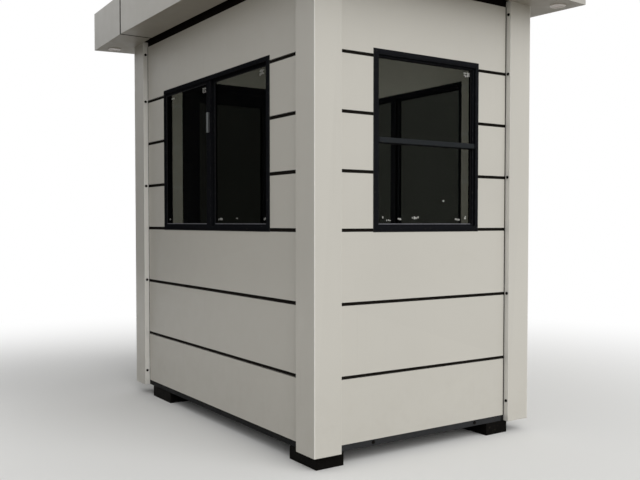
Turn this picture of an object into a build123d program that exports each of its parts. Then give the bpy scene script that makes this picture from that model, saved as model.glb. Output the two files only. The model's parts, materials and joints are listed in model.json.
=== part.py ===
"""Security guard booth: a panel-clad cabin on feet, with windows on three sides and a door at the back.

Millimetres, Z up. The origin lies under the middle of the booth, at the bottom of the feet.
The front wall faces -Y, the left wall faces -X.
"""

import os

from build123d import *

os.makedirs("parts", exist_ok=True)

# Plan of the booth, over the outer faces of the corner posts
WIDTH = 1525.0
DEPTH = 2380.0

# Levels
FOOT_HEIGHT = 70.0
BASE_HEIGHT = 34.0
FLOOR_THICK = 40.0
STRIP = 16.0
SILL_STRIP = 1190.0
LOW_PANEL = 359.6
WINDOW_PITCH = 300.0
WINDOW_ROWS = 3
HEAD_PANEL = 380.0
BEAM_HEIGHT = 100.0
BAND_HEIGHT = 33.0
FASCIA_HEIGHT = 265.0
DECK_THICK = 60.0

# Walls: a post cover shows POST_FACE to the front or back and POST_SIDE to the sides
POST_FACE = 165.0
POST_SIDE = 172.0
POST_PROUD = 33.0
PANEL_THICK = 50.0
CORNER_GAP = 7.0
STRIP_RECESS = 4.0
BASE_RECESS = 3.0
BASE_WIDTH = 150.0
BEAM_WIDTH = 60.0
CEILING_THICK = 40.0

# Windows
FRONT_WINDOW = 746.0
SIDE_WINDOW = 1427.0
SIDE_WINDOW_SHIFT = 11.0
WINDOW_RISE = 44.0
FRAME_PROUD = 8.0
FLANGE_FACE = 27.0
FLANGE_THICK = 6.0
INNER_FLANGE = 5.0
FRAME_WALL = 14.0
FRAME_SLOPE = 14.0
FRAME_BEVEL = 4.0
PANE = 20.0
PANE_SET = 30.0
GLAZING_RAIL = 16.0
TRANSOM = 26.0
TRANSOM_RISE = 6.0
SASH_THICK = 18.0
SASH_RAIL = 23.0
MEETING_STILE = 54.0
MEETING_SHIFT = -22.0
MEETING_LAP = 34.0
SASH_SET = 8.0
SASH_STEP = 20.0
SLIDE_CLEAR = 2.0
SASH_PANE = 8.0
PULL_WIDTH = 22.0
PULL_HEIGHT = 122.0
PULL_PROUD = 14.0
PULL_INSET = 8.0
PULL_LEVEL = 661.0

# Door
DOOR_SIDE_PANEL = 168.0
DOOR_HEAD = 190.0
DOOR_FRAME_FACE = 50.0
DOOR_FRAME_DEPTH = 60.0
DOOR_CLEAR = 4.0
DOOR_STOP = 16.0
LEAF_THICK = 42.0
LEAF_STILE = 95.0
LEAF_KICK = 140.0
LEAF_MID_RAIL = 110.0
LEAF_MID_LEVEL = 960.0
LEAF_PANEL = 24.0
DOOR_PANE_STEP = 2.0
HINGE_RADIUS = 8.0
HINGE_LENGTH = 90.0
HINGE_OUT = 6.0
HINGE_PLACES = (0.12, 0.5, 0.88)
LEVER_LEVEL = 1010.0
LEVER_RISE = 40.0
LEVER_RADIUS = 9.0
LEVER_GRIP = 118.0
LEVER_STEM = 40.0
PLATE_WIDTH = 34.0
PLATE_HEIGHT = 220.0
PLATE_THICK = 8.0

# Roof edge: the corner casings sag by CORNER_DROOP at their outer corner
OVERHANG = 220.0
CORNER_LEG = 528.0
CORNER_DROOP = 17.0
SEAM = 18.0
SHEET = 4.0
TOP_FLANGE = 45.0
FLANGE_LIP = 18.0
SPOT_RADIUS = 46.0
SPOT_BODY = 34.0
SPOT_CLEAR = 0.5
SPOT_RIM = 4.0
SPOT_WALL = 2.0

# Feet, measured from the front left post corner
FOOT_SETBACK = 33.0
FOOT_WIDTH = 168.0
FOOT_LENGTH = 300.0
FRONT_FOOT_LENGTH = 255.0
RIGHT_FOOT_INSET = 140.0
BACK_FOOT_INSET = 242.0

# Derived levels and setbacks
WINDOW_HEIGHT = WINDOW_ROWS * WINDOW_PITCH + WINDOW_RISE
WALL_BOTTOM = FOOT_HEIGHT + BASE_HEIGHT
WALL_TOP = SILL_STRIP + WINDOW_ROWS * WINDOW_PITCH + STRIP + HEAD_PANEL
SOFFIT = WALL_TOP + BAND_HEIGHT
FASCIA_TOP = SOFFIT + FASCIA_HEIGHT
BEAM_TOP = WALL_TOP + BEAM_HEIGHT
INNER_FACE = POST_PROUD + PANEL_THICK
FRAME_DEPTH = PANEL_THICK + FRAME_PROUD
BASE_EDGE = POST_PROUD + BASE_RECESS
BEAM_FACE = POST_PROUD + STRIP_RECESS
DOOR_WIDTH = WIDTH - 2 * (POST_FACE + CORNER_GAP + DOOR_SIDE_PANEL)
DOOR_HEIGHT = WALL_TOP - DOOR_HEAD - WALL_BOTTOM

SIDES = ("front", "left", "right", "back")
CORNERS = {"front_left": (-1, -1), "front_right": (1, -1), "back_left": (-1, 1), "back_right": (1, 1)}


def span(low, high):
    """A box between two corner points."""
    size = [b - a for a, b in zip(low, high)]
    middle = [(a + b) / 2 for a, b in zip(low, high)]
    return Pos(*middle) * Box(*size)


def wall_size(side):
    """Length of a wall over its posts, and the width of the post covers at its ends."""
    return (WIDTH, POST_FACE) if side in ("front", "back") else (DEPTH, POST_SIDE)


def on_wall(side, shape):
    """Turn a shape drawn for the front wall (u right, v inwards, w up) to its own wall."""
    turns = {"front": 0, "right": 90, "back": 180, "left": -90}
    length, reach = (WIDTH, DEPTH) if side in ("front", "back") else (DEPTH, WIDTH)
    return Rot(0, 0, turns[side]) * Pos(-length / 2, -reach / 2, 0) * shape


def at_corner(corner, shape):
    """Mirror a shape of the front left corner, drawn from the post's outer corner, to another corner."""
    sx, sy = CORNERS[corner]
    if sx > 0:
        shape = mirror(shape, Plane.YZ)
    if sy > 0:
        shape = mirror(shape, Plane.XZ)
    return Pos(sx * WIDTH / 2, sy * DEPTH / 2, 0) * shape


def save(name, shapes):
    """Write one node: a single solid, or like solids that don't touch."""
    solids = [solid for shape in shapes for solid in shape.solids()]
    node = solids[0] if len(solids) == 1 else Compound(children=solids)
    node.label = name
    export_step(node, f"parts/{name}.step")


def strip_levels():
    """Bottom of every joint strip, from the lowest to the highest."""
    low = [SILL_STRIP - count * (LOW_PANEL + STRIP) for count in (2, 1)]
    high = [SILL_STRIP + count * WINDOW_PITCH for count in range(WINDOW_ROWS + 1)]
    return low + high


def panel_rows():
    """Bottom and top of every row of cladding."""
    bottoms = [WALL_BOTTOM] + [level + STRIP for level in strip_levels()]
    tops = strip_levels() + [WALL_TOP]
    return list(zip(bottoms, tops))


def window_centre(side):
    """Middle of a wall's window, along the wall; the side windows sit towards the back."""
    length, _ = wall_size(side)
    return length / 2 + {"left": -SIDE_WINDOW_SHIFT, "right": SIDE_WINDOW_SHIFT}.get(side, 0)


def wall_opening(side):
    """Opening of a wall for its window or door: u0, u1, w0, w1."""
    if side == "back":
        return (WIDTH - DOOR_WIDTH) / 2, (WIDTH + DOOR_WIDTH) / 2, WALL_BOTTOM, WALL_BOTTOM + DOOR_HEIGHT
    half = (FRONT_WINDOW if side == "front" else SIDE_WINDOW) / 2
    centre = window_centre(side)
    return centre - half, centre + half, SILL_STRIP, SILL_STRIP + WINDOW_HEIGHT


def clad(side):
    """Cladding panels and joint strips of one wall, around its opening."""
    u0, u1, w0, w1 = wall_opening(side)
    hole = span((u0, -FRAME_PROUD, w0), (u1, INNER_FACE + 1, w1))
    length, post_width = wall_size(side)
    start, end = post_width + CORNER_GAP, length - post_width - CORNER_GAP
    panels = [span((start, POST_PROUD, low), (end, INNER_FACE, high)) - hole for low, high in panel_rows()]
    face = POST_PROUD + STRIP_RECESS
    strips = [
        span((start, face, level), (end, INNER_FACE, level + STRIP)) - hole for level in strip_levels()
    ]
    return panels, strips


def ring(width, height, face, depth, start):
    """A rectangular frame, centred on u, standing on w = 0, its front at v = start."""
    outer = span((-width / 2, start, 0), (width / 2, start + depth, height))
    inner = span((face - width / 2, start - 1, face), (width / 2 - face, start + depth + 1, height - face))
    return outer - inner


def window_frame(width):
    """Aluminium frame: a deep outer wall with flanges at both faces, sloped to the weather."""
    frame = ring(width, WINDOW_HEIGHT, FRAME_WALL, FRAME_DEPTH, 0)
    frame += ring(width, WINDOW_HEIGHT, FLANGE_FACE, FLANGE_THICK, 0)
    frame += ring(width, WINDOW_HEIGHT, FLANGE_FACE, INNER_FLANGE, FRAME_DEPTH - INNER_FLANGE)
    weather = frame.faces().sort_by(Axis.Y)[0]
    return chamfer(weather.outer_wire().edges(), FRAME_SLOPE, FRAME_BEVEL, reference=weather)


def in_window(side, shape):
    """Set a window piece, drawn from the middle of the window's foot, into its wall."""
    return on_wall(side, Pos(window_centre(side), POST_PROUD - FRAME_PROUD, SILL_STRIP) * shape)


def sash(left, right, start, meeting_right):
    """One sliding sash and its pane; its meeting stile is the broad one."""
    low = FRAME_WALL
    high = WINDOW_HEIGHT - FRAME_WALL - SLIDE_CLEAR
    body = span((left, start, low), (right, start + SASH_THICK, high))
    left_stile = SASH_RAIL if meeting_right else MEETING_STILE
    right_stile = MEETING_STILE if meeting_right else SASH_RAIL
    hole_low = (left + left_stile, start - 1, low + SASH_RAIL)
    hole_high = (right - right_stile, start + SASH_THICK + 1, high - SASH_RAIL)
    pane_start = start + (SASH_THICK - SASH_PANE) / 2
    pane = span(
        (hole_low[0], pane_start, hole_low[2]), (hole_high[0], pane_start + SASH_PANE, hole_high[2])
    )
    return body - span(hole_low, hole_high), pane


def sliding_window():
    """Two sashes on two tracks, their panes and the pull on the outer one."""
    reach = SIDE_WINDOW / 2 - FRAME_WALL - SLIDE_CLEAR / 2
    meeting = MEETING_SHIFT + MEETING_LAP / 2
    outer, outer_pane = sash(-reach, meeting, SASH_SET, True)
    inner, inner_pane = sash(meeting - MEETING_LAP, reach, SASH_SET + SASH_STEP, False)
    pull_right = meeting - PULL_INSET
    pull = span(
        (pull_right - PULL_WIDTH, SASH_SET - PULL_PROUD, PULL_LEVEL - PULL_HEIGHT / 2),
        (pull_right, SASH_SET, PULL_LEVEL + PULL_HEIGHT / 2),
    )
    pull = fillet(pull.faces().sort_by(Axis.Y)[0].edges(), PULL_PROUD / 4)
    return outer, inner, [outer_pane, inner_pane], pull


def post():
    """The front left corner: a folded cover standing proud of the cladding, over the post behind it."""
    cover = span((0, 0, FOOT_HEIGHT), (POST_FACE, POST_SIDE, BEAM_TOP))
    inner = (POST_FACE + 1, POST_SIDE + 1, BEAM_TOP + 1)
    cover -= span((BASE_EDGE, BASE_EDGE, FOOT_HEIGHT - 1), inner)
    core = span((0, 0, WALL_BOTTOM), (POST_FACE, POST_SIDE, BEAM_TOP))
    core -= span((INNER_FACE, INNER_FACE, WALL_BOTTOM - 1), inner)
    return cover + core


# Feet, base rails and floor
right_foot = WIDTH - RIGHT_FOOT_INSET - FOOT_WIDTH
back_foot = DEPTH - BACK_FOOT_INSET - FOOT_LENGTH
feet = []
for x in (FOOT_SETBACK, right_foot):
    for y, length in ((FOOT_SETBACK, FRONT_FOOT_LENGTH), (back_foot, FOOT_LENGTH)):
        foot = span((x, y, 0), (x + FOOT_WIDTH, y + length, FOOT_HEIGHT))
        feet.append(Pos(-WIDTH / 2, -DEPTH / 2, 0) * foot)
save("base_feet", feet)

side_rails, end_rails = [], []
base_middle = FOOT_HEIGHT + BASE_HEIGHT / 2
for sign in (-1, 1):
    x = sign * (WIDTH / 2 - BASE_EDGE - BASE_WIDTH / 2)
    y = sign * (DEPTH / 2 - BASE_EDGE - BASE_WIDTH / 2)
    side_rails.append(Pos(x, 0, base_middle) * Box(BASE_WIDTH, DEPTH - 2 * BASE_EDGE, BASE_HEIGHT))
    end_length = WIDTH - 2 * (BASE_EDGE + BASE_WIDTH)
    end_rails.append(Pos(0, y, base_middle) * Box(end_length, BASE_WIDTH, BASE_HEIGHT))
save("base_side_rails", side_rails)
save("base_end_rails", end_rails)

floor = Box(WIDTH - 2 * INNER_FACE, DEPTH - 2 * INNER_FACE, FLOOR_THICK)
save("floor_panel", [Pos(0, 0, WALL_BOTTOM + FLOOR_THICK / 2) * floor])

# Corner posts
for corner in CORNERS:
    save(f"corner_post_{corner}", [at_corner(corner, post())])

# Walls, the gaskets beside the posts and the beams over the walls
gaskets, beams = [], []
for side in SIDES:
    panels, strips = clad(side)
    save(f"{side}_upper_panel", [on_wall(side, panels[-1])])
    save(f"{side}_panels", [on_wall(side, panel) for panel in panels[:-1]])
    save(f"{side}_joint_strips", [on_wall(side, strip) for strip in strips])
    length, post_width = wall_size(side)
    for start in (post_width, length - post_width - CORNER_GAP):
        low = (start, POST_PROUD + 2 * STRIP_RECESS, WALL_BOTTOM)
        gaskets.append(on_wall(side, span(low, (start + CORNER_GAP, INNER_FACE, WALL_TOP))))
    beam_end = (length - post_width, BEAM_FACE + BEAM_WIDTH, BEAM_TOP)
    beams.append(on_wall(side, span((post_width, BEAM_FACE, WALL_TOP), beam_end)))
save("corner_gaskets", gaskets)
save("top_beams", beams)

# Front window: fixed panes above and below a transom
half = FRONT_WINDOW / 2 - FRAME_WALL
transom_low = (WINDOW_HEIGHT - TRANSOM) / 2 + TRANSOM_RISE
transom_high = transom_low + TRANSOM
front_frame = window_frame(FRONT_WINDOW)
front_frame += ring(FRONT_WINDOW, WINDOW_HEIGHT, FRAME_WALL + SASH_RAIL, GLAZING_RAIL, PANE_SET - GLAZING_RAIL)
front_frame += span((-half, FLANGE_THICK / 2, transom_low), (half, FRAME_DEPTH - INNER_FLANGE, transom_high))
save("front_window_frame", [in_window("front", front_frame)])
panes = [
    span((-half, PANE_SET, bottom), (half, PANE_SET + PANE, top))
    for bottom, top in ((FRAME_WALL, transom_low), (transom_high, WINDOW_HEIGHT - FRAME_WALL))
]
save("front_window_glass", [in_window("front", pane) for pane in panes])

# Side windows: two sliding sashes each
outer, inner, side_panes, pull = sliding_window()
for side in ("left", "right"):
    save(f"{side}_window_frame", [in_window(side, window_frame(SIDE_WINDOW))])
    save(f"{side}_window_outer_sash", [in_window(side, outer)])
    save(f"{side}_window_inner_sash", [in_window(side, inner)])
    save(f"{side}_window_glass", [in_window(side, pane) for pane in side_panes])
    save(f"{side}_window_pull", [in_window(side, pull)])


# Back door, closed, drawn from the middle of its threshold
FRAME_START = INNER_FACE - DOOR_FRAME_DEPTH
LEAF_EDGE = DOOR_WIDTH / 2 - DOOR_FRAME_FACE - DOOR_CLEAR
LEAF_LOW = DOOR_FRAME_FACE + DOOR_CLEAR
LEAF_HIGH = DOOR_HEIGHT - LEAF_LOW
LEAF_FRONT = FRAME_START + DOOR_CLEAR
LEAF_BACK = LEAF_FRONT + LEAF_THICK


def leaf_fill(bottom, top, front, thick):
    """A slab that fills the leaf between its stiles."""
    reach = LEAF_EDGE - LEAF_STILE
    return span((-reach, front, bottom), (reach, front + thick, top))


def door_leaf():
    """Leaf with a kick panel and a glazed upper light, and the pane of that light."""
    low_light = (LEAF_LOW + LEAF_KICK, LEAF_MID_LEVEL - LEAF_MID_RAIL / 2)
    high_light = (LEAF_MID_LEVEL + LEAF_MID_RAIL / 2, LEAF_HIGH - LEAF_STILE)
    leaf = span((-LEAF_EDGE, LEAF_FRONT, LEAF_LOW), (LEAF_EDGE, LEAF_BACK, LEAF_HIGH))
    for bottom, top in (low_light, high_light):
        leaf -= leaf_fill(bottom, top, LEAF_FRONT - 1, LEAF_THICK + 2)
    panel_front = LEAF_FRONT + (LEAF_THICK - LEAF_PANEL) / 2
    leaf += leaf_fill(*low_light, panel_front, LEAF_PANEL)
    return leaf, leaf_fill(*high_light, panel_front + DOOR_PANE_STEP, PANE)


def door_hinges():
    """Knuckles outside the leaf's edge, flat against the frame."""
    frame_box = span((-DOOR_WIDTH, FRAME_START, 0), (DOOR_WIDTH, FRAME_START + 4 * HINGE_RADIUS, DOOR_HEIGHT))
    hinges = []
    for place in HINGE_PLACES:
        knuckle = Cylinder(HINGE_RADIUS, HINGE_LENGTH)
        centre = (-LEAF_EDGE - DOOR_CLEAR / 2, FRAME_START - HINGE_OUT, place * DOOR_HEIGHT)
        hinges.append(Pos(*centre) * knuckle - frame_box)
    return hinges


def door_levers():
    """Backplate, stem and lever grip on both faces of the leaf."""
    middle = LEAF_EDGE - LEAF_STILE / 2
    height = LEVER_LEVEL + LEVER_RISE
    levers = []
    for face, out in ((LEAF_FRONT, -1), (LEAF_BACK, 1)):
        plate = Pos(middle, face + out * PLATE_THICK / 2, LEVER_LEVEL)
        lever = plate * Box(PLATE_WIDTH, PLATE_THICK, PLATE_HEIGHT)
        stem = Pos(middle, face + out * (LEVER_STEM / 2 + PLATE_THICK / 2), height) * Rot(90, 0, 0)
        lever += stem * Cylinder(LEVER_RADIUS, LEVER_STEM)
        grip_middle = middle + LEVER_RADIUS - LEVER_GRIP / 2
        grip = Pos(grip_middle, face + out * (LEVER_STEM + PLATE_THICK / 2), height) * Rot(0, 90, 0)
        levers.append(lever + grip * Cylinder(LEVER_RADIUS, LEVER_GRIP))
    return levers


def on_back(shape):
    """Set a door piece into the back wall."""
    return on_wall("back", Pos(WIDTH / 2, 0, WALL_BOTTOM) * shape)


door_frame = ring(DOOR_WIDTH, DOOR_HEIGHT, DOOR_FRAME_FACE, DOOR_FRAME_DEPTH, FRAME_START)
door_frame += ring(DOOR_WIDTH, DOOR_HEIGHT, DOOR_FRAME_FACE + DOOR_STOP, INNER_FACE - LEAF_BACK, LEAF_BACK)
leaf, door_pane = door_leaf()
save("door_frame", [on_back(door_frame)])
save("door_leaf", [on_back(leaf)])
save("door_glass", [on_back(door_pane)])
save("door_hinges", [on_back(hinge) for hinge in door_hinges()])
save("door_levers", [on_back(lever) for lever in door_levers()])

# Ceiling and roof deck
beam_inside = 2 * (BEAM_FACE + BEAM_WIDTH)
ceiling = Box(WIDTH - beam_inside, DEPTH - beam_inside, CEILING_THICK)
save("ceiling_panel", [Pos(0, 0, WALL_TOP + CEILING_THICK / 2) * ceiling])
deck_reach = 2 * (OVERHANG - SHEET)
deck = Box(WIDTH + deck_reach, DEPTH + deck_reach, DECK_THICK)
save("roof_deck", [Pos(0, 0, BEAM_TOP + DECK_THICK / 2) * deck])

# Roof edge, drawn from the post's outer corner
CORNER_RUN = CORNER_LEG - OVERHANG
DROOP_SLOPE = CORNER_DROOP / CORNER_LEG


def edge_profile():
    """Folded sheet of the roof edge: lip, soffit, fascia, top flange and its lip (outwards, up)."""
    lip = SOFFIT + FLANGE_LIP
    flange_end = OVERHANG - TOP_FLANGE
    flange_low = FASCIA_TOP - FLANGE_LIP
    points = [
        (0, lip), (0, SOFFIT), (OVERHANG, SOFFIT), (OVERHANG, FASCIA_TOP), (flange_end, FASCIA_TOP),
        (flange_end, flange_low), (flange_end + SHEET, flange_low), (flange_end + SHEET, FASCIA_TOP - SHEET),
        (OVERHANG - SHEET, FASCIA_TOP - SHEET), (OVERHANG - SHEET, SOFFIT + SHEET), (SHEET, SOFFIT + SHEET),
        (SHEET, lip),
    ]
    return make_face(Polyline(*points, close=True))


def profile_at(u):
    """The profile across a front edge, seen from its right end."""
    return Plane(origin=(u, 0, 0), x_dir=(0, -1, 0), z_dir=(-1, 0, 0)) * edge_profile()


def roof_length(length):
    """A straight roof edge along u, between two corner casings."""
    return extrude(profile_at(length - CORNER_RUN - SEAM), length - 2 * (CORNER_RUN + SEAM))


def roof_corner():
    """The front left corner casing: two mitred, sagging legs, with the hole for the light."""
    sag = Vector(-1, 0, -DROOP_SLOPE)
    leg = extrude(profile_at(CORNER_RUN), CORNER_LEG * sag.length, dir=sag.normalized())
    big = 2 * CORNER_LEG
    mitre = make_face(Polyline((-big, -big), (big, -big), (big, big), close=True))
    leg &= Pos(0, 0, SOFFIT - big) * extrude(mitre, FASCIA_HEIGHT + 2 * big)
    other = mirror(leg, Plane(origin=(0, 0, 0), z_dir=(1, -1, 0)))
    middle = -OVERHANG / 2
    return leg + other - Pos(middle, middle, SOFFIT) * Cylinder(SPOT_BODY, FASCIA_HEIGHT / 2)


def spot(casing):
    """Round recessed light: a rim seated against the casing, a body through it and a sunk lens."""
    level = SOFFIT - DROOP_SLOPE * (CORNER_RUN + OVERHANG / 2)
    bottom = level - SPOT_RIM
    rim = Pos(0, 0, bottom + SPOT_RIM / 2 + SHEET / 4) * Cylinder(SPOT_RADIUS, SPOT_RIM + SHEET / 2)
    rim = chamfer(rim.edges().group_by(Axis.Z)[0], SPOT_RIM / 3)
    body = Pos(0, 0, level + SPOT_BODY / 2) * Cylinder(SPOT_BODY - SPOT_CLEAR, SPOT_BODY)
    lens = Pos(0, 0, bottom) * Cylinder(SPOT_BODY - SPOT_WALL, SPOT_RIM)
    return Pos(-OVERHANG / 2, -OVERHANG / 2, 0) * (rim + body - lens) - casing


casing = roof_corner()
light = spot(casing)
save("roof_edge_ends", [on_wall(side, roof_length(WIDTH)) for side in ("front", "back")])
save("roof_edge_sides", [on_wall(side, roof_length(DEPTH)) for side in ("left", "right")])
save("roof_corners", [at_corner(corner, casing) for corner in CORNERS])
save("soffit_lights", [at_corner(corner, light) for corner in CORNERS])
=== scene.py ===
"""Looks of the security guard booth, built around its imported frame. Metres, Z up, front wall towards -Y."""

import json
import math
import random

import bmesh
import bpy
from mathutils import Matrix, Vector


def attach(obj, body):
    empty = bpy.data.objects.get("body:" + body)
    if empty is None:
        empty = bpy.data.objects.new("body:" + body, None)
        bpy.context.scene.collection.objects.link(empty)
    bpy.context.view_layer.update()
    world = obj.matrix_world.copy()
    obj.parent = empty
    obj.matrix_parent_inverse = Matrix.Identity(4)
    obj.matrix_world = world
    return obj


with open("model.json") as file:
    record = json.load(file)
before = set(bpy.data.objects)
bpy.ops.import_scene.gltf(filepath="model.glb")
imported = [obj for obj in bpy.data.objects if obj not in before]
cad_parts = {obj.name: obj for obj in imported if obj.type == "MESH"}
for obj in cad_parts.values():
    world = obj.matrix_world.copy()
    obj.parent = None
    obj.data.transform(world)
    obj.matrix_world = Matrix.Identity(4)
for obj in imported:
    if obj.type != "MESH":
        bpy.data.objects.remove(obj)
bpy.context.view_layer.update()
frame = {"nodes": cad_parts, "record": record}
NODES = frame["nodes"]

# Sizes that the dressing shares with the frame
WIDTH, DEPTH = 1.525, 2.380
POST_FACE, POST_SIDE, POST_PROUD = 0.165, 0.172, 0.033
CORNER_GAP = 0.007
WALL_BOTTOM, WALL_TOP, SILL = 0.104, 2.486, 1.190
FRAME_FACE = 0.025
WINDOW_HEIGHT = 0.944
FRONT_WINDOW, SIDE_WINDOW, SIDE_SHIFT = 0.746, 1.427, 0.011
DOOR_WIDTH = 0.845
FRAME_WALL, RAIL, STILE, TRANSOM, TRANSOM_RISE = 0.014, 0.023, 0.054, 0.026, 0.006
TRANSOM_LOW = SILL + (WINDOW_HEIGHT - TRANSOM) / 2 + TRANSOM_RISE
FIXED_PANE, OUTER_PANE, INNER_PANE = 0.030, 0.013, 0.033
OVERHANG, SOFFIT, FASCIA_TOP, CORNER_RUN, SEAM = 0.220, 2.519, 2.784, 0.308, 0.018
TURNS = {"front": 0, "right": 90, "back": 180, "left": -90}

# Width of each window, and how far its middle lies to the right of the wall's
WINDOWS = {
    "front": (FRONT_WINDOW, 0.0),
    "left": (SIDE_WINDOW, -SIDE_SHIFT),
    "right": (SIDE_WINDOW, SIDE_SHIFT),
}


# Helpers for pieces

SMOOTH_LIMIT = math.radians(35)


def is_end(side):
    return side in ("front", "back")


def wall_length(side):
    return WIDTH if is_end(side) else DEPTH


def cover_width(side):
    return POST_FACE if is_end(side) else POST_SIDE


def wall_matrix(side):
    """From wall coordinates (u right, v inwards, w up) to the frame."""
    length = wall_length(side)
    reach = WIDTH + DEPTH - length
    turn = Matrix.Rotation(math.radians(TURNS[side]), 4, "Z")
    return turn @ Matrix.Translation((-length / 2, -reach / 2, 0))


def block(bm, low, high, matrix=Matrix.Identity(4)):
    """A box between two corners."""
    size = [b - a for a, b in zip(low, high)]
    middle = [(a + b) / 2 for a, b in zip(low, high)]
    place = matrix @ Matrix.Translation(middle) @ Matrix.Diagonal((*size, 1))
    bmesh.ops.create_cube(bm, size=1.0, matrix=place)


def close_prism(bm, start, end):
    """Close the sides and both ends between two like rings of vertices."""
    bm.faces.new(start)
    bm.faces.new(end[::-1])
    for i in range(len(start)):
        j = (i + 1) % len(start)
        bm.faces.new((start[i], end[i], end[j], start[j]))


def lathe(bm, profile, matrix, segments, turn=0.0):
    """Turn a profile of (radius, height) about the local Z axis."""
    rings = []
    for radius, height in profile:
        if radius == 0:
            rings.append([bm.verts.new(matrix @ Vector((0, 0, height)))])
            continue
        angles = [turn + 2 * math.pi * i / segments for i in range(segments)]
        ring = [Vector((radius * math.cos(a), radius * math.sin(a), height)) for a in angles]
        rings.append([bm.verts.new(matrix @ point) for point in ring])
    for low, high in zip(rings, rings[1:]):
        for i in range(segments):
            j = (i + 1) % segments
            face = [low[i % len(low)], low[j % len(low)], high[j % len(high)], high[i % len(high)]]
            unique = list(dict.fromkeys(face))
            if len(unique) > 2:
                bm.faces.new(unique)


def frame_bead(bm, matrix, u0, u1, w0, w1, section):
    """A mitred bead inside a rectangle; section is a list of (inset, v) points, closed."""
    corners = []
    for su, sw in ((0, 0), (1, 0), (1, 1), (0, 1)):
        ring = []
        for inset, v in section:
            u = u0 + inset if su == 0 else u1 - inset
            w = w0 + inset if sw == 0 else w1 - inset
            ring.append(bm.verts.new(matrix @ Vector((u, v, w))))
        corners.append(ring)
    count = len(section)
    for a in range(4):
        here, there = corners[a], corners[(a + 1) % 4]
        for i in range(count):
            j = (i + 1) % count
            bm.faces.new((here[i], there[i], there[j], here[j]))


def mesh_object(name, bm):
    mesh = bpy.data.meshes.new(name)
    bm.to_mesh(mesh)
    bm.free()
    obj = bpy.data.objects.new(name, mesh)
    bpy.context.collection.objects.link(obj)
    return obj


def piece(name, bm, material, smooth=False):
    """Make an object of a mesh, riding on the booth."""
    bmesh.ops.recalc_face_normals(bm, faces=bm.faces)
    obj = mesh_object(name, bm)
    obj.data.materials.append(material)
    if smooth:
        obj.data.shade_smooth()
        obj.data.set_sharp_from_angle(angle=SMOOTH_LIMIT)
    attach(obj, "root")


# Helpers for materials

EDGE_SAMPLES, FLAT_DOT, EDGE_DOT = 4, 0.995, 0.80


class Shader:
    """A principled material with small calls for its procedural inputs."""

    def __init__(self, name):
        self.material = bpy.data.materials.new(name)
        self.material.use_nodes = True
        self.tree = self.material.node_tree
        self.bsdf = self.tree.nodes["Principled BSDF"]
        self.place = self.tree.nodes.new("ShaderNodeTexCoord").outputs["Object"]
        self.height = self.axes(self.place)[2]

    def link(self, value, socket):
        if isinstance(value, bpy.types.NodeSocket):
            self.tree.links.new(value, socket)
        else:
            socket.default_value = value

    def axes(self, vector):
        node = self.tree.nodes.new("ShaderNodeSeparateXYZ")
        self.link(vector, node.inputs[0])
        return node.outputs

    def stretched(self, scale):
        node = self.tree.nodes.new("ShaderNodeMapping")
        self.link(self.place, node.inputs["Vector"])
        node.inputs["Scale"].default_value = scale
        return node.outputs[0]

    def math(self, operation, a, b=0.0, clamp=False):
        node = self.tree.nodes.new("ShaderNodeMath")
        node.operation = operation
        node.use_clamp = clamp
        self.link(a, node.inputs[0])
        self.link(b, node.inputs[1])
        return node.outputs[0]

    def ramp(self, value, low, high, to_low=0.0, to_high=1.0):
        node = self.tree.nodes.new("ShaderNodeMapRange")
        node.interpolation_type = "SMOOTHSTEP"
        self.link(value, node.inputs["Value"])
        node.inputs["From Min"].default_value = low
        node.inputs["From Max"].default_value = high
        node.inputs["To Min"].default_value = to_low
        node.inputs["To Max"].default_value = to_high
        return node.outputs[0]

    def noise(self, scale, detail, stretch=None, rough=0.55):
        node = self.tree.nodes.new("ShaderNodeTexNoise")
        self.link(self.stretched(stretch) if stretch else self.place, node.inputs["Vector"])
        node.inputs["Scale"].default_value = scale
        node.inputs["Detail"].default_value = detail
        node.inputs["Roughness"].default_value = rough
        return node.outputs["Fac"]

    def facing(self):
        """Upward part of the surface's normal."""
        return self.axes(self.tree.nodes.new("ShaderNodeNewGeometry").outputs["Normal"])[2]

    def island(self):
        return self.tree.nodes.new("ShaderNodeNewGeometry").outputs["Random Per Island"]

    def mix(self, factor, a, b):
        node = self.tree.nodes.new("ShaderNodeMix")
        node.data_type = "RGBA"
        self.link(factor, node.inputs["Factor"])
        self.link((*a, 1.0) if isinstance(a, tuple) else a, node.inputs["A"])
        self.link((*b, 1.0) if isinstance(b, tuple) else b, node.inputs["B"])
        return node.outputs["Result"]

    def edges(self, radius):
        """About 1 at convex and concave edges, 0 on flat faces."""
        bevel = self.tree.nodes.new("ShaderNodeBevel")
        bevel.samples = EDGE_SAMPLES
        bevel.inputs["Radius"].default_value = radius
        dot = self.tree.nodes.new("ShaderNodeVectorMath")
        dot.operation = "DOT_PRODUCT"
        self.link(bevel.outputs[0], dot.inputs[0])
        self.link(self.tree.nodes.new("ShaderNodeNewGeometry").outputs["True Normal"], dot.inputs[1])
        return self.ramp(dot.outputs["Value"], FLAT_DOT, EDGE_DOT)

    def bump(self, height, distance, strength=1.0, under=None):
        node = self.tree.nodes.new("ShaderNodeBump")
        node.inputs["Distance"].default_value = distance
        node.inputs["Strength"].default_value = strength
        self.link(height, node.inputs["Height"])
        if under:
            self.link(under, node.inputs["Normal"])
        return node.outputs[0]

    def set(self, **values):
        for name, value in values.items():
            self.link(value, self.bsdf.inputs[name.replace("_", " ")])


def shaded(colour, factor):
    return tuple(channel * factor for channel in colour)


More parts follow.
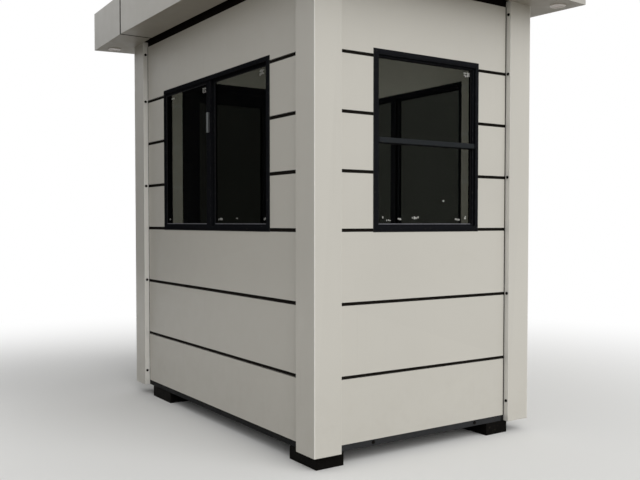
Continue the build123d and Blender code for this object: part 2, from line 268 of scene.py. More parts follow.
# Colours and places that the materials share; painted edges blend over one or two steps of BLEND
# The dust tone is also the tone of the painted shade on the undersides of coated sheets.
DUST_AND_SHADE_TONE = (0.30, 0.26, 0.20)
SPLASH_TOP, SPLASH_FULL = 0.62, 0.10
ARRIS_REACH, RUB_REACH = 0.004, 0.0025
BLEND, MARGIN = 0.001, 0.0005
RETURN_X, RETURN_Y = WIDTH / 2 - POST_FACE + MARGIN, DEPTH / 2 - POST_SIDE + MARGIN
FOLD = 0.0035
FOLD_X, FOLD_Y = WIDTH / 2 - FOLD, DEPTH / 2 - FOLD
PANE_REACH = FRONT_WINDOW / 2 - FRAME_WALL - RAIL
GLASS_TINT, GLASS_INDEX = (0.112, 0.116, 0.105), 1.035


def dirt_cover(s):
    """How much dirt lies where: splashes low down, rain streaks on upright faces, smudges anywhere."""
    low = s.ramp(s.height, SPLASH_TOP, SPLASH_FULL)
    splash = s.math("MULTIPLY", low, s.ramp(s.noise(9.0, 6.0, rough=0.7), 0.38, 0.75))
    upright = s.ramp(s.math("ABSOLUTE", s.facing()), 0.6, 0.2)
    streak = s.ramp(s.noise(1.0, 4.0, (34.0, 34.0, 0.9), 0.65), 0.58, 0.85, 0.0, 0.07)
    streak = s.math("MULTIPLY", streak, upright)
    smudge = s.ramp(s.noise(3.1, 5.0, rough=0.6), 0.60, 0.80, 0.0, 0.06)
    return s.math("ADD", s.math("MULTIPLY", splash, 0.07), s.math("ADD", streak, smudge))


def cover_tones(s, tone, lit_flanks):
    """Painted light: paler flanks on the returns of the post covers, and a painted highlight line on the
    outer fold.
    """
    x, y = [s.math("ABSOLUTE", axis) for axis in s.axes(s.place)[:2]]
    return_x = s.ramp(x, RETURN_X + 2 * BLEND, RETURN_X)
    return_y = s.ramp(y, RETURN_Y + 2 * BLEND, RETURN_Y)
    tone = s.mix(s.math("MAXIMUM", return_x, return_y), tone, lit_flanks)
    fold = s.math("MINIMUM", s.ramp(x, FOLD_X - BLEND, FOLD_X), s.ramp(y, FOLD_Y - BLEND, FOLD_Y))
    return s.mix(fold, tone, shaded(lit_flanks, 1.06))


def transom_reflection(s, tone, bar):
    """Painted reflection of the sky: a paler tone between the two levels of bar and inside the jambs."""
    low, high, pale = bar
    inside = s.ramp(s.math("ABSOLUTE", s.axes(s.place)[0]), PANE_REACH + 2 * BLEND, PANE_REACH)
    above = s.ramp(s.height, low - BLEND, low + BLEND)
    below = s.ramp(s.height, high + BLEND, high - BLEND)
    level = s.math("MULTIPLY", above, below)
    return s.mix(s.math("MULTIPLY", level, inside), tone, pale)


def coated_sheet(name, colour, rough, wave, coat=0.0, grime=1.0, arris=0.16, underside_shade=0.0, lit_flanks=None):
    """Factory-coated sheet: faint tone drift, orange peel, painted arris highlights, dust low down, rain
    streaks, painted shade below.
    """
    s = Shader(name)
    drift = s.ramp(s.noise(1.1, 2.0), 0.3, 0.7)
    tone = s.mix(drift, shaded(colour, 0.975), shaded(colour, 1.02))
    tone = s.mix(s.math("MULTIPLY", s.island(), 0.5), tone, shaded(colour, 0.965))
    speck = s.ramp(s.noise(260.0, 2.0), 0.62, 0.78, 0.0, 0.10)
    tone = s.mix(speck, tone, shaded(colour, 0.80))
    # Painted light on the covers' returns, and a painted highlight on their outer fold.
    if lit_flanks:
        tone = cover_tones(s, tone, lit_flanks)
    # Painted highlight: the arrises turn lighter, standing for light caught on the rounded edges.
    if arris:
        tone = s.mix(s.math("MULTIPLY", s.edges(ARRIS_REACH), arris), tone, shaded(colour, 1.35))
    dirt_and_shade = s.math("MULTIPLY", dirt_cover(s), grime, clamp=True)
    # Painted shade: faces that point down darken towards the dust tone, on top of the dirt.
    if underside_shade:
        shade = s.ramp(s.noise(2.2, 3.0), 0.3, 0.75, underside_shade * 0.75, underside_shade)
        dirt_and_shade = s.math("ADD", dirt_and_shade, s.math("MULTIPLY", s.ramp(s.facing(), -0.5, -0.9), shade), clamp=True)
    s.set(Base_Color=s.mix(dirt_and_shade, tone, DUST_AND_SHADE_TONE))
    gloss = s.ramp(s.noise(14.0, 5.0), 0.3, 0.7, rough - 0.05, rough + 0.06)
    s.set(Roughness=s.math("ADD", gloss, s.math("MULTIPLY", dirt_and_shade, 0.5), clamp=True))
    peel = s.bump(s.noise(420.0, 2.0), 0.00012, 0.6)
    s.set(Normal=s.bump(s.noise(2.3, 1.0), wave, under=peel))
    s.set(Coat_Weight=coat, Coat_Roughness=0.12)
    return s.material


def powder_coat(name, colour, rough, sheen, worn=(0.20, 0.20, 0.21), bar=None):
    """Fine-textured dark coating with lighter rubbed edges and settled dust, and a painted reflection on the
    transom at bar.
    """
    s = Shader(name)
    grain = s.noise(900.0, 2.0)
    tone = s.mix(s.ramp(grain, 0.35, 0.7), shaded(colour, 0.8), shaded(colour, 1.25))
    tone = s.mix(s.ramp(s.noise(5.0, 4.0), 0.45, 0.8, 0.0, 0.3), tone, shaded(colour, 1.7))
    rub = s.math("MULTIPLY", s.edges(RUB_REACH), s.ramp(s.noise(38.0, 4.0), 0.46, 0.68, 0.0, 0.55))
    tone = s.mix(rub, tone, worn)
    if bar:
        tone = transom_reflection(s, tone, bar)
    dust = s.ramp(s.noise(60.0, 6.0, rough=0.7), 0.56, 0.82, 0.0, 0.16)
    s.set(Base_Color=s.mix(dust, tone, DUST_AND_SHADE_TONE))
    s.set(Roughness=s.ramp(s.noise(24.0, 4.0), 0.3, 0.7, rough - 0.06, rough + 0.10))
    s.set(Normal=s.bump(grain, 0.00025, 0.7), Specular_IOR_Level=sheen)
    return s.material


def rubber(name, colour):
    """Dull black rubber or sealant with a dusty bloom."""
    s = Shader(name)
    bloom = s.ramp(s.noise(45.0, 5.0, rough=0.65), 0.42, 0.78, 0.0, 0.5)
    s.set(Base_Color=s.mix(bloom, colour, shaded(colour, 2.6)))
    s.set(Roughness=s.ramp(s.noise(80.0, 3.0), 0.3, 0.7, 0.62, 0.82))
    s.set(Normal=s.bump(s.noise(500.0, 3.0), 0.0003, 0.6), Specular_IOR_Level=0.08)
    return s.material


def pane_glass(name, tint):
    """Smoked clear glass with a faint film of dust and rain marks, kept from mirroring the white studio."""
    s = Shader(name)
    marks = s.ramp(s.noise(46.0, 5.0, (1.0, 1.0, 0.35), 0.7), 0.62, 0.82)
    film = s.math("ADD", s.math("MULTIPLY", marks, 0.5), s.ramp(s.noise(4.0, 3.0), 0.35, 0.75, 0.0, 0.3))
    s.set(Base_Color=s.mix(film, tint, shaded(tint, 0.8)))
    s.set(Transmission_Weight=1.0, IOR=GLASS_INDEX, Roughness=0.0)
    return s.material


def brushed_metal(name, colour, rough):
    """Satin metal with a fine grain and finger marks."""
    s = Shader(name)
    grain = s.noise(300.0, 3.0, (1.0, 1.0, 0.06))
    s.set(Base_Color=s.mix(s.ramp(grain, 0.3, 0.7), shaded(colour, 0.85), colour), Metallic=1.0)
    touch = s.ramp(s.noise(55.0, 4.0), 0.4, 0.7, rough, rough + 0.15)
    s.set(Roughness=touch, Normal=s.bump(grain, 0.0002, 0.5))
    return s.material


def vinyl_floor(name):
    """Grey sheet flooring with flecks and scuffs."""
    s = Shader(name)
    fleck = s.ramp(s.noise(420.0, 1.0), 0.60, 0.66)
    tone = s.mix(fleck, (0.135, 0.130, 0.120), (0.24, 0.23, 0.21))
    scuff = s.ramp(s.noise(7.0, 6.0, (1.0, 0.3, 1.0), 0.7), 0.52, 0.75, 0.0, 0.5)
    s.set(Base_Color=s.mix(scuff, tone, (0.075, 0.07, 0.065)))
    s.set(Roughness=s.ramp(scuff, 0.0, 0.5, 0.35, 0.6), Normal=s.bump(fleck, 0.0002, 0.4))
    return s.material


def frosted(name, colour):
    """Opal plastic of a light's lens, prismatic on a small scale."""
    s = Shader(name)
    s.set(Base_Color=s.mix(s.ramp(s.noise(30.0, 3.0), 0.3, 0.7), shaded(colour, 0.86), colour))
    s.set(Roughness=s.ramp(s.noise(70.0, 2.0), 0.3, 0.7, 0.3, 0.45))
    s.set(Normal=s.bump(s.noise(700.0, 1.0), 0.0005, 0.6))
    return s.material


def dry_film(name, colour):
    """Chalky film with a patchy tone: label residue, and pale strips of painted highlight at the panes' feet.
    """
    s = Shader(name)
    tone = s.mix(s.ramp(s.noise(190.0, 4.0), 0.35, 0.7), shaded(colour, 0.6), colour)
    s.set(Base_Color=tone, Roughness=s.ramp(s.noise(320.0, 3.0), 0.3, 0.7, 0.75, 0.95))
    s.set(Normal=s.bump(s.noise(650.0, 3.0), 0.0003, 0.6), Specular_IOR_Level=0.2)
    return s.material


CREAM = (0.620, 0.603, 0.553)
# Painted light: the paler tone of the post covers' returns.
LIT_RETURN_TONE = (0.80, 0.79, 0.755)
WHITE = (0.66, 0.66, 0.64)
STRIP_BLACK, BAND_BLACK, STEEL_BLACK = (0.012, 0.0105, 0.009), (0.006, 0.004, 0.003), (0.0055, 0.005, 0.0045)
ANTHRACITE = (0.0094, 0.0100, 0.0122)
# Painted reflection of the sky on the front window's transom.
TRANSOM_REFLECTION = (0.026, 0.029, 0.032)
# The door glass is the window tint at 0.30: painted shade where the door's panes look dark.
DOOR_PANE = shaded(GLASS_TINT, 0.30)
# The side rails are a darker coat than the end rails: painted shade.
RAIL_TONES = {"base_end_rails": (0.034, 0.035, 0.037), "base_side_rails": (0.014, 0.0145, 0.015)}
DULL = 0.008
MATERIALS = {
    "cream_cladding": coated_sheet("cream cladding", CREAM, rough=0.42, wave=0.0011),
    "cream_cover": coated_sheet(
        "cream post cover", shaded(CREAM, 1.02), rough=0.36, wave=0.0005, coat=0.05, lit_flanks=LIT_RETURN_TONE,
    ),
    # The roof sheet is the wall cream at 0.79, painted shade, with more painted shade on its downward faces.
    "cream_roof_sheet": coated_sheet(
        "cream roof sheet", shaded(CREAM, 0.79), rough=0.34, wave=0.0004, grime=0.4, arris=0.0, underside_shade=0.50,
    ),
    "white_sandwich_panel": coated_sheet("white panel", WHITE, rough=0.45, wave=0.0010, grime=0.7),
    "dark_strip": powder_coat("dark strip", STRIP_BLACK, rough=0.55, sheen=DULL, worn=(0.05, 0.045, 0.04)),
    "dark_band": powder_coat("dark band", BAND_BLACK, rough=0.60, sheen=0.02, worn=(0.03, 0.026, 0.022)),
    "black_gasket": rubber("gasket", (0.006, 0.006, 0.006)),
    "dark_steel": powder_coat("dark steel", STEEL_BLACK, rough=0.52, sheen=0.02, worn=(0.10, 0.08, 0.07)),
    "grey_floor": vinyl_floor("vinyl floor"),
    "anthracite_frame": powder_coat("anthracite frame", ANTHRACITE, rough=0.40, sheen=DULL),
    "anthracite_sash": powder_coat("anthracite sash", shaded(ANTHRACITE, 0.9), rough=0.42, sheen=DULL),
    "window_glass": pane_glass("smoked glass", GLASS_TINT),
    "light_pull": brushed_metal("pull metal", (0.17, 0.18, 0.18), 0.50),
    "steel_fitting": brushed_metal("door fitting metal", (0.56, 0.56, 0.56), 0.30),
    "light_fitting": frosted("light fitting", (0.86, 0.80, 0.77)),
}
SLOTS = {part["node"]: part["material_slot"] for part in frame["record"]["subparts"]}


def dress_frame():
    """Give each node the material of its slot, and a few nodes one of their own: painted shade on side rails
    and door glass, a painted reflection on the transom.
    """
    for node, obj in NODES.items():
        obj.data.materials.clear()
        obj.data.materials.append(MATERIALS[SLOTS[node]])
    # Painted shade: the side rails take a darker coat than the end rails.
    for node, tone in RAIL_TONES.items():
        coat = powder_coat(node.replace("_", " "), tone, rough=0.50, sheen=0.03, worn=(0.12, 0.11, 0.10))
        NODES[node].data.materials[0] = coat
    # Darker door glass: painted shade.
    NODES["door_glass"].data.materials[0] = pane_glass("door glass", DOOR_PANE)
    # The paler transom band is a painted reflection of the sky.
    bar = (TRANSOM_LOW, TRANSOM_LOW + TRANSOM, TRANSOM_REFLECTION)
    front = powder_coat("front frame", ANTHRACITE, rough=0.40, sheen=DULL, bar=bar)
    NODES["front_window_frame"].data.materials[0] = front
    matt = powder_coat("matt side frame", ANTHRACITE, rough=0.45, sheen=0.0)
    for node in NODES:
        if node.startswith(("left_window", "right_window")) and SLOTS[node].startswith("anthracite"):
            NODES[node].data.materials[0] = matt


# Rounded arrises on the folded and cut pieces of the frame; the roof's corner casings stay sharp
ROUNDING = {
    "cream_cladding": 0.0012, "cream_cover": 0.0022, "cream_roof_sheet": 0.0016, "dark_strip": 0.0008,
    "anthracite_frame": 0.0012, "anthracite_sash": 0.0012, "dark_steel": 0.0025,
}
UNROUNDED = ("roof_corners",)
WELD_REACH, SHARP_EDGE = 0.00002, math.radians(40)


def round_arrises():
    for node, obj in NODES.items():
        width = ROUNDING.get(SLOTS[node])
        if width is None or node in UNROUNDED:
            continue
        weld = obj.modifiers.new("weld", "WELD")
        weld.merge_threshold = WELD_REACH
        bevel = obj.modifiers.new("arris", "BEVEL")
        bevel.width = width
        bevel.segments = 2
        bevel.limit_method = "ANGLE"
        bevel.angle_limit = SHARP_EDGE
        bevel.harden_normals = True


# Screws in the returns of the post covers, bolts in the base rails; outlines are (radius, height)
END_SCREWS = (0.192, 0.825, 1.500, 2.096, 2.440)
SIDE_SCREWS = (0.175, 0.825, 1.500, 2.100, 2.429)
SCREW_SETBACK, SCREW_PLAY, SCREW_SCALE = 0.0165, 0.0012, 1.32
BOLT_PLACES, BOLT_LEVEL, BOLT_SCALE = (0.393, 1.125), 0.089, 1.5
RAIL_SETBACK = 0.003
WASHER = ((0.0068, 0.0), (0.0068, 0.0009), (0.0058, 0.0018), (0.0042, 0.0021))
HEX_HEAD = ((0.0044, 0.0018), (0.0044, 0.0046), (0.0037, 0.0054), (0.0, 0.0054))
WASHER_SIDES, HEAD_SIDES = 20, 6
SCREW_BLACK = (0.004, 0.0035, 0.0035)
SCREW_SEED = 11


def hex_screw(bm, matrix, scale, turn):
    size = Matrix.Scale(scale, 4)
    lathe(bm, WASHER, matrix @ size, WASHER_SIDES)
    lathe(bm, HEX_HEAD, matrix @ size, HEAD_SIDES, turn)


def post_screws():
    screws = bmesh.new()
    random.seed(SCREW_SEED)
    for side in TURNS:
        cover = cover_width(side)
        levels = END_SCREWS if is_end(side) else SIDE_SCREWS
        for u, out in ((cover, 1), (wall_length(side) - cover, -1)):
            for level in levels:
                shift = random.uniform(-SCREW_PLAY, SCREW_PLAY)
                spot = Matrix.Translation((u, SCREW_SETBACK + shift, level + 2 * shift))
                spot = wall_matrix(side) @ spot @ Matrix.Rotation(out * math.pi / 2, 4, "Y")
                hex_screw(screws, spot, SCREW_SCALE, random.uniform(0, 1))
    coat = powder_coat("screw black", SCREW_BLACK, rough=0.5, sheen=DULL, worn=(0.02, 0.018, 0.015))
    piece("post_screws", screws, coat, smooth=True)


def base_bolts():
    bolts = bmesh.new()
    for side in ("front", "back"):
        for u in BOLT_PLACES:
            spot = wall_matrix(side) @ Matrix.Translation((u, POST_PROUD + RAIL_SETBACK, BOLT_LEVEL))
            hex_screw(bolts, spot @ Matrix.Rotation(math.pi / 2, 4, "X"), BOLT_SCALE, random.uniform(0, 1))
    piece("base_bolts", bolts, MATERIALS["dark_steel"], smooth=True)


# Sealant where the window frames meet the cladding, as (inset, v), and rubber beads on the panes.
# Sliding sashes overlap between MEETING_LEFT and MEETING_RIGHT, measured from the window's middle.
SEAL = ((0.0, 0.0300), (-0.0030, 0.0325), (-0.0036, 0.0334), (0.0, 0.0334))
MEETING_RIGHT, MEETING_LEFT = -0.005, -0.039
SASH_PLAY, HEAD_PLAY = 0.001, 0.002
BEAD_WIDE, BEAD_DEEP, BEAD_TUCK, BEAD_LIP = 0.0045, 0.004, 0.0004, 0.001
SHOULDER_WIDE, SHOULDER_DEEP = BEAD_WIDE * 0.55, BEAD_DEEP * 0.8


def bead_section(v):
    """Rubber wedge in front of a pane whose face lies at v."""
    root = ((-BEAD_TUCK, v), (-BEAD_TUCK, v - BEAD_DEEP))
    return (*root, (SHOULDER_WIDE, v - SHOULDER_DEEP), (BEAD_WIDE, v - BEAD_LIP), (BEAD_WIDE, v))


def window_sealing():
    sealant, beads = bmesh.new(), bmesh.new()
    low, high = SILL + FRAME_WALL + RAIL, SILL + WINDOW_HEIGHT - FRAME_WALL - RAIL
    for side, (width, shift) in WINDOWS.items():
        matrix = wall_matrix(side)
        centre = wall_length(side) / 2 + shift
        left, right = centre - width / 2, centre + width / 2
        frame_bead(sealant, matrix, left, right, SILL, SILL + WINDOW_HEIGHT, SEAL)
        if side == "front":
            start, end = left + FRAME_WALL + RAIL, right - FRAME_WALL - RAIL
            for bottom, top in ((low, TRANSOM_LOW), (TRANSOM_LOW + TRANSOM, high)):
                frame_bead(beads, matrix, start, end, bottom, top, bead_section(FRAME_FACE + FIXED_PANE))
            continue
        reach = width / 2 - FRAME_WALL - SASH_PLAY
        outer = (centre - reach + RAIL, centre + MEETING_RIGHT - STILE)
        inner = (centre + MEETING_LEFT + STILE, centre + reach - RAIL)
        for (start, end), depth in ((outer, OUTER_PANE), (inner, INNER_PANE)):
            frame_bead(beads, matrix, start, end, low, high - HEAD_PLAY, bead_section(FRAME_FACE + depth))
    piece("window_sealant", sealant, rubber("sealant", (0.020, 0.020, 0.020)))
    piece("pane_beads", beads, rubber("pane bead", (0.009, 0.009, 0.010)))


# Residue of labels and tape on the panes: middle u and w, width and height of each patch in metres
RESIDUE = {
    "front": (
        (1.066, 2.070, 0.047, 0.028), (0.467, 1.264, 0.013, 0.016), (0.505, 1.249, 0.034, 0.010),
        (0.578, 1.257, 0.028, 0.011), (0.690, 1.264, 0.053, 0.016), (0.998, 1.255, 0.038, 0.012),
        (1.062, 1.266, 0.016, 0.023), (0.893, 1.358, 0.014, 0.013),
    ),
    "left": (
        (1.769, 2.066, 0.049, 0.030), (1.083, 2.058, 0.050, 0.031), (0.603, 2.067, 0.045, 0.013),
        (0.549, 1.259, 0.025, 0.014), (1.258, 1.257, 0.053, 0.018), (1.470, 1.262, 0.025, 0.009),
        (1.798, 1.257, 0.022, 0.014),
    ),
}
FILM_THICK, FLAKE, RIM_POINTS = 0.0003, 0.012, 11
RAGGED, DRIFT_U, DRIFT_W = (0.72, 1.0), 0.3, 0.4
SPREAD_U, SPREAD_W = (0.65, 1.25), (0.6, 1.25)
OUTER_PANE_END = 1.15
FLAKE_SEED = 23


def flake(bm, matrix, v, middle, radii):
    """A thin irregular scrap whose back lies on the pane."""
    rim = [(2 * math.pi * i / RIM_POINTS, random.uniform(*RAGGED)) for i in range(RIM_POINTS)]
    (mid_u, mid_w), (wide, tall) = middle, radii
    outline = [(mid_u + wide * r * math.cos(a), mid_w + tall * r * math.sin(a)) for a, r in rim]
    back = [bm.verts.new(matrix @ Vector((u, v, w))) for u, w in outline]
    face = [bm.verts.new(matrix @ Vector((u, v - FILM_THICK, w))) for u, w in outline]
    close_prism(bm, back, face)


def scatter_flakes(bm, side, v, patch):
    """Fill one patch with a grid of scraps that differ in place and size."""
    u, w, wide, tall = patch
    columns, rows = max(1, round(wide / FLAKE)), max(1, round(tall / FLAKE))
    half_wide, half_tall = wide / columns / 2, tall / rows / 2
    for column in range(columns):
        for row in range(rows):
            middle = (
                u - wide / 2 + (2 * column + 1 + random.uniform(-DRIFT_U, DRIFT_U)) * half_wide,
                w - tall / 2 + (2 * row + 1 + random.uniform(-DRIFT_W, DRIFT_W)) * half_tall,
            )
            radii = (half_wide * random.uniform(*SPREAD_U), half_tall * random.uniform(*SPREAD_W))
            flake(bm, wall_matrix(side), v, middle, radii)


def pane_residue():
    residue = bmesh.new()
    random.seed(FLAKE_SEED)
    for side, patches in RESIDUE.items():
        for patch in patches:
            sliding = OUTER_PANE if patch[0] < OUTER_PANE_END else INNER_PANE
            depth = FIXED_PANE if side == "front" else sliding
            scatter_flakes(residue, side, FRAME_FACE + depth, patch)
    piece("pane_residue", residue, dry_film("label residue", (0.52, 0.52, 0.50)))


# White tape over the joints on the inner faces; on the outer faces dark beads along the strips, painted shade
# that widens them
LOW_ROW, HIGH_ROW = 0.3756, 0.300
JOINTS = [SILL - 2 * LOW_ROW, SILL - LOW_ROW, SILL] + [SILL + i * HIGH_ROW for i in (1, 2, 3)]
STRIP, INNER_FACE, TAPE_LAP, TAPE_THICK = 0.016, 0.083, 0.005, 0.0008
OPENING_PLAY = 0.001
# Painted shade: the beads are wider on the side walls.
SHADE_BEAD_WIDE = {"front": 0.0005, "back": 0.0005, "left": 0.0018, "right": 0.0018}
SHADE_BEAD_FACE, SHADE_BEAD_ROOT, SHADE_BEAD_TUCK = 0.0326, 0.0336, 0.0003
POST_STOP, OPENING_STOP = 0.0003, 0.004


def joint_lines():
    tape, shade_beads = bmesh.new(), bmesh.new()
    for side in TURNS:
        matrix = wall_matrix(side)
        start, end = cover_width(side) + CORNER_GAP, wall_length(side) - cover_width(side) - CORNER_GAP
        width, shift = WINDOWS.get(side, (DOOR_WIDTH, 0.0))
        middle, reach = wall_length(side) / 2 + shift, width / 2 + OPENING_PLAY
        for joint in JOINTS:
            whole = side != "back" and joint < SILL
            runs = [(start, end)] if whole else [(start, middle - reach), (middle + reach, end)]
            for u0, u1 in runs:
                top = (u1, INNER_FACE + TAPE_THICK, joint + STRIP + TAPE_LAP)
                block(tape, (u0, INNER_FACE, joint - TAPE_LAP), top, matrix)
                near = u0 + (POST_STOP if u0 == start else OPENING_STOP)
                far = u1 - (POST_STOP if u1 == end else OPENING_STOP)
                # Dark beads above and below each strip: painted shade in its recess.
                for bottom in (joint - SHADE_BEAD_WIDE[side], joint + STRIP - SHADE_BEAD_TUCK):
                    top = (far, SHADE_BEAD_ROOT, bottom + SHADE_BEAD_WIDE[side] + SHADE_BEAD_TUCK)
                    block(shade_beads, (near, SHADE_BEAD_FACE, bottom), top, matrix)
    piece("inner_joint_tape", tape, MATERIALS["white_sandwich_panel"])
    piece("joint_shade_beads", shade_beads, MATERIALS["dark_strip"])


# Painted highlight along the lower edge of each pane, a pale strip for light caught on the rail: its start
# and end on the wall, and its wedge before the pane's face
FOOT_HIGHLIGHT_RUNS = (
    ("front", 0.4300, 1.0950, FIXED_PANE),
    ("left", 0.5080, 1.1150, OUTER_PANE),
    ("left", 1.1990, 1.8500, INNER_PANE),
)
FOOT_HIGHLIGHT_WEDGE = ((-0.0062, 0.0), (-0.0002, 0.0), (-0.0002, 0.0052), (-0.0050, 0.0040))
LEDGE = SILL + FRAME_WALL + RAIL


def pane_foot_highlight():
    dust = bmesh.new()
    for side, start, end, pane in FOOT_HIGHLIGHT_RUNS:
        matrix = wall_matrix(side) @ Matrix.Translation((0, FRAME_FACE + pane, LEDGE))
        near = [dust.verts.new(matrix @ Vector((start, v, w))) for v, w in FOOT_HIGHLIGHT_WEDGE]
        far = [dust.verts.new(matrix @ Vector((end, v, w))) for v, w in FOOT_HIGHLIGHT_WEDGE]
        close_prism(dust, near, far)
    # The pale strip is a painted highlight for light caught on the top of the rail.
    piece("pane_foot_highlight", dust, dry_film("ledge highlight", (0.17, 0.17, 0.19)))


# Dark sealant in the seams of the roof edge, set back from the sheet's faces
SHEET, SET_BACK, STRIP_THICK, WALL_STOP = 0.004, 0.0002, 0.006, 0.002


def roof_seam_sealant():
    seams = bmesh.new()
    face, base = SET_BACK - OVERHANG, SOFFIT + SET_BACK
    for side in TURNS:
        matrix = wall_matrix(side)
        for u in (CORNER_RUN, wall_length(side) - CORNER_RUN - SEAM):
            low, high = u - SET_BACK, u + SEAM + SET_BACK
            block(seams, (low, face, base), (high, face + STRIP_THICK, FASCIA_TOP - SHEET), matrix)
            block(seams, (low, face, base), (high, -WALL_STOP, base + STRIP_THICK), matrix)
    piece("roof_seam_sealant", seams, MATERIALS["dark_band"])


# Sealant over the gaskets beside the posts, dark foam in the slot over each post's return
SEALANT_PLAY, LEVEL_PLAY = 0.0003, 0.0005
GAP_DEPTHS, FOAM_DEPTHS = (0.0334, 0.0405), (0.0010, 0.0368)
GAP_LEVELS = (WALL_BOTTOM, WALL_TOP - LEVEL_PLAY)
FOAM_LEVELS = (SOFFIT - LEVEL_PLAY, SOFFIT + 0.0240)


def corner_fillings():
    gap_seal, foam = bmesh.new(), bmesh.new()
    for side in TURNS:
        matrix = wall_matrix(side)
        for edge in (cover_width(side), wall_length(side) - cover_width(side) - CORNER_GAP):
            start, end = edge + SEALANT_PLAY, edge + CORNER_GAP - SEALANT_PLAY
            for bm, depths, levels in ((foam, FOAM_DEPTHS, FOAM_LEVELS), (gap_seal, GAP_DEPTHS, GAP_LEVELS)):
                block(bm, (start, depths[0], levels[0]), (end, depths[1], levels[1]), matrix)
    piece("corner_gap_sealant", gap_seal, MATERIALS["dark_band"])
    piece("band_end_foam", foam, MATERIALS["dark_band"])


# Studio: floor, board, world, lamps and camera. The camera is solved from the booth's straight edges.
FLOOR_REACH = 40.0
FLOOR_BOUNCE, FLOOR_SEEN = (0.28, 0.262, 0.228, 1.0), (0.80, 0.80, 0.79, 1.0)
FADE_START, FADE_END = 1.6, 6.0
BOARD_LOW, BOARD_HIGH = (-2.00, 0.9, 0.60), (-1.98, 4.4, 2.68)
BOARD_TONE = (0.03, 0.03, 0.03, 1.0)
WORLD_LIGHT = 0.60
KEY_ENERGY, KEY_ANGLE, KEY_COLOUR = 1.60, math.radians(65), (1.0, 0.995, 0.98)
KEY_TOWARDS = Vector((0.02, -0.82, 0.57))
ROOM_ENERGY, ROOM_RADIUS, ROOM_PLACE = 35.0, 0.30, (0.0, 0.0, 1.50)
EYE = (-2.91923, -4.45496, 1.23731)
PITCH, YAW = math.radians(90 - 1.8262), math.radians(-33.9475)
FILM_WIDTH, FOCAL_LENGTH, SHIFT_X, SHIFT_Y = 36.0, 45.114, -0.00212, 0.01261


def seen_directly(tree):
    """1 for rays that show the background: from the camera, a reflection or through glass."""
    path = tree.nodes.new("ShaderNodeLightPath")
    total = path.outputs["Is Camera Ray"]
    for kind in ("Is Glossy Ray", "Is Transmission Ray"):
        join = tree.nodes.new("ShaderNodeMath")
        join.operation = "MAXIMUM"
        tree.links.new(total, join.inputs[0])
        tree.links.new(path.outputs[kind], join.inputs[1])
        total = join.outputs[0]
    return total


def floor_material():
    """A matt floor that keeps the shadow near the booth and turns to plain white farther out."""
    ground = bpy.data.materials.new("studio floor")
    ground.use_nodes = True
    nodes, links = ground.node_tree.nodes, ground.node_tree.links
    nodes.clear()
    shown = seen_directly(ground.node_tree)
    tone = nodes.new("ShaderNodeMix")
    tone.data_type = "RGBA"
    tone.inputs["A"].default_value = FLOOR_BOUNCE
    tone.inputs["B"].default_value = FLOOR_SEEN
    links.new(shown, tone.inputs["Factor"])
    diffuse = nodes.new("ShaderNodeBsdfDiffuse")
    links.new(tone.outputs["Result"], diffuse.inputs["Color"])
    distance = nodes.new("ShaderNodeVectorMath")
    distance.operation = "LENGTH"
    links.new(nodes.new("ShaderNodeTexCoord").outputs["Object"], distance.inputs[0])
    fade = nodes.new("ShaderNodeMapRange")
    fade.interpolation_type = "SMOOTHSTEP"
    fade.inputs["From Min"].default_value = FADE_START
    fade.inputs["From Max"].default_value = FADE_END
    links.new(distance.outputs["Value"], fade.inputs["Value"])
    both = nodes.new("ShaderNodeMath")
    both.operation = "MULTIPLY"
    links.new(fade.outputs[0], both.inputs[0])
    links.new(shown, both.inputs[1])
    choose = nodes.new("ShaderNodeMixShader")
    links.new(both.outputs[0], choose.inputs[0])
    links.new(diffuse.outputs[0], choose.inputs[1])
    links.new(nodes.new("ShaderNodeEmission").outputs[0], choose.inputs[2])
    surface = nodes.new("ShaderNodeOutputMaterial")
    links.new(choose.outputs[0], surface.inputs["Surface"])
    return ground


def studio_floor():
    bm = bmesh.new()
    bmesh.ops.create_grid(bm, x_segments=2, y_segments=2, size=FLOOR_REACH)
    floor = mesh_object("studio_floor", bm)
    floor.data.materials.append(floor_material())


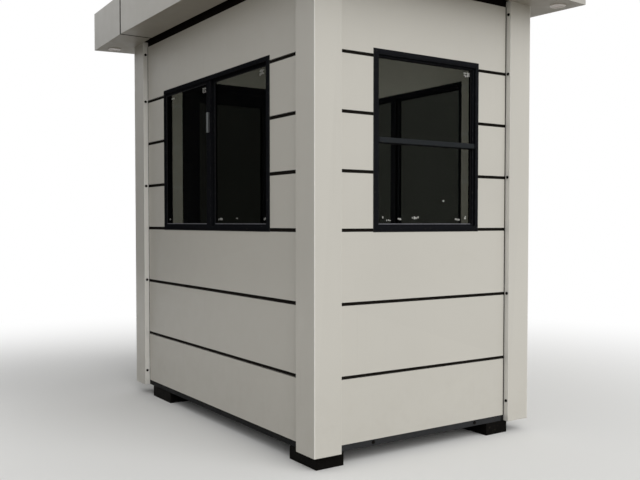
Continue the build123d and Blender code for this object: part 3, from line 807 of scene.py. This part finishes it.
def studio_board():
    """A dark board, hidden from the camera, that darkens the left wall's back end and its glass."""
    bm = bmesh.new()
    block(bm, BOARD_LOW, BOARD_HIGH)
    board = mesh_object("studio_board", bm)
    board.visible_camera = False
    board.visible_transmission = False
    dark = Shader("studio board")
    dark.set(Base_Color=BOARD_TONE, Specular_IOR_Level=0.0)
    board.data.materials.append(dark.material)


def studio_world():
    """Even white light, shown at full white where it is seen."""
    world = bpy.data.worlds.new("studio")
    bpy.context.scene.world = world
    world.use_nodes = True
    nodes, links = world.node_tree.nodes, world.node_tree.links
    background = nodes["Background"]
    background.inputs["Color"].default_value = (1.0, 1.0, 1.0, 1.0)
    level = nodes.new("ShaderNodeMapRange")
    level.inputs["To Min"].default_value = WORLD_LIGHT
    level.inputs["To Max"].default_value = 1.0
    links.new(seen_directly(world.node_tree), level.inputs["Value"])
    links.new(level.outputs[0], background.inputs["Strength"])


def studio_lamps():
    """A broad soft key from the front, and a lamp for the daylight that reaches the room."""
    sun = bpy.data.lights.new("key", "SUN")
    sun.energy = KEY_ENERGY
    sun.angle = KEY_ANGLE
    sun.color = KEY_COLOUR
    key = bpy.data.objects.new("key", sun)
    key.visible_glossy = False
    key.rotation_euler = KEY_TOWARDS.to_track_quat("Z", "Y").to_euler()
    bpy.context.collection.objects.link(key)
    inside = bpy.data.lights.new("inside", "POINT")
    inside.energy = ROOM_ENERGY
    inside.shadow_soft_size = ROOM_RADIUS
    room = bpy.data.objects.new("inside", inside)
    room.location = ROOM_PLACE
    room.visible_camera = False
    room.visible_glossy = False
    room.visible_transmission = False
    bpy.context.collection.objects.link(room)


def studio_camera():
    """The photograph's view of the booth."""
    lens = bpy.data.cameras.new("camera")
    lens.sensor_width = FILM_WIDTH
    lens.lens = FOCAL_LENGTH
    lens.shift_x = SHIFT_X
    lens.shift_y = SHIFT_Y
    camera = bpy.data.objects.new("camera", lens)
    camera.location = EYE
    camera.rotation_euler = (PITCH, 0.0, YAW)
    bpy.context.collection.objects.link(camera)
    bpy.context.scene.camera = camera
    bpy.context.scene.view_settings.view_transform = "Standard"


dress_frame()
round_arrises()
post_screws()
base_bolts()
window_sealing()
pane_residue()
joint_lines()
pane_foot_highlight()
roof_seam_sealant()
corner_fillings()
studio_floor()
studio_board()
studio_world()
studio_lamps()
studio_camera()
